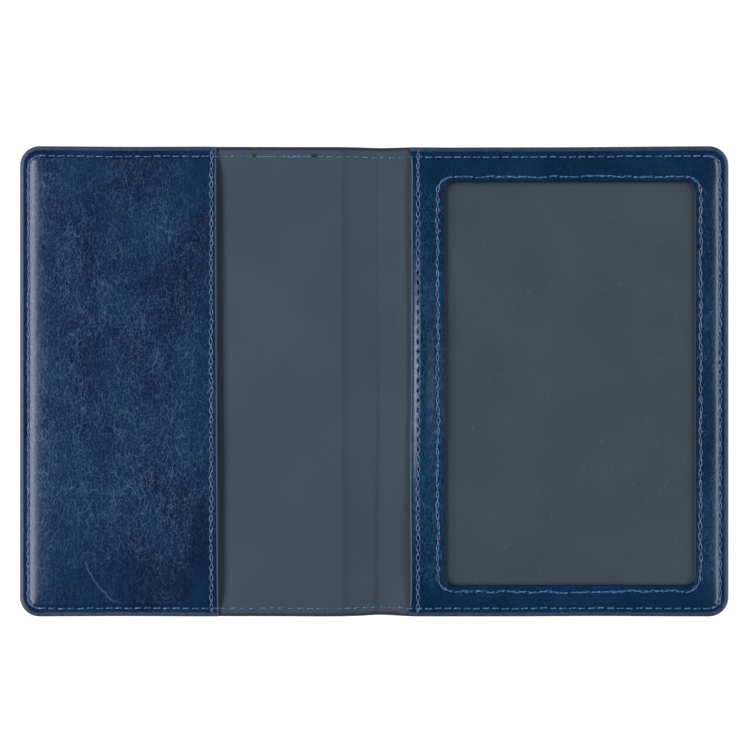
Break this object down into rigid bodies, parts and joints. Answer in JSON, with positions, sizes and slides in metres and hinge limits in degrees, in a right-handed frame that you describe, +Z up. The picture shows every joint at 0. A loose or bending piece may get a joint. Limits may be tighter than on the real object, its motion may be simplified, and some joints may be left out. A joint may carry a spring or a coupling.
{
  "type": "passport holder",
  "caption": "Leather passport holder that opens flat like a book, with a sewn pocket on one side and a clear window pocket on the other.",
  "frame": {"origin": "centre of the underside of the open holder, on the surface that it lies on", "axes": "+X from the left pocket's cover to the window's cover, +Y up the page along the spine, +Z up out of the open inside"},
  "size_m": [0.202, 0.134, 0.0044],
  "materials": {
    "outer_leather": "glazed, fine grain, painted cut edges",
    "pocket_leather": "glazed, fine vertical grain, mottled blue",
    "lining": "matt grey-blue, faintly mottled",
    "board": "bonded fibre board, hidden",
    "film": "clear, glossy, finely scratched",
    "thread": "waxed polyester thread",
    "melted_thread": "melted thread end"
  },
  "bodies": {
    "left_cover": {"outer_leather_left": "outer_leather", "stiffener_board_left": "board", "lining_left": "lining", "pocket_panel_left": "pocket_leather", "pocket_lining_left": "lining", "perimeter_thread_left": "thread", "pocket_edge_thread": "thread", "melted_thread_ends": "melted_thread"},
    "spine_1": {"outer_leather_spine_1": "outer_leather", "lining_spine_1": "lining", "perimeter_thread_spine_1": "thread"},
    "spine_2": {"outer_leather_spine_2": "outer_leather", "lining_spine_2": "lining", "perimeter_thread_spine_2": "thread"},
    "spine_3": {"outer_leather_spine_3": "outer_leather", "lining_spine_3": "lining", "perimeter_thread_spine_3": "thread"},
    "right_cover": {"outer_leather_right": "outer_leather", "stiffener_board_right": "board", "lining_right": "lining", "window_frame_right": "pocket_leather", "window_film": "film", "frame_lining_right": "lining", "perimeter_thread_right": "thread", "frame_edge_thread": "thread", "window_thread": "thread"}
  },
  "joints": [
    {"name": "right_spine_fold", "type": "hinge", "parent": "spine_2", "child": "spine_3", "pos_m": [0.0025, 0, 0.001], "axis": [0, -1, 0], "range_deg": [0, 45]},
    {"name": "right_cover_fold", "type": "hinge", "parent": "spine_3", "child": "right_cover", "pos_m": [0.0075, 0, 0.001], "axis": [0, -1, 0], "range_deg": [0, 45]},
    {"name": "left_spine_fold", "type": "hinge", "parent": "spine_2", "child": "spine_1", "pos_m": [-0.0025, 0, 0.001], "axis": [0, 1, 0], "range_deg": [0, 45]},
    {"name": "left_cover_fold", "type": "hinge", "parent": "spine_1", "child": "left_cover", "pos_m": [-0.0075, 0, 0.001], "axis": [0, 1, 0], "range_deg": [0, 45]}
  ],
  "couplings": [
    {"joint": "right_cover_fold", "follows": "right_spine_fold", "ratio": 1},
    {"joint": "left_spine_fold", "follows": "right_spine_fold", "ratio": 1},
    {"joint": "left_cover_fold", "follows": "right_spine_fold", "ratio": 1}
  ]
}
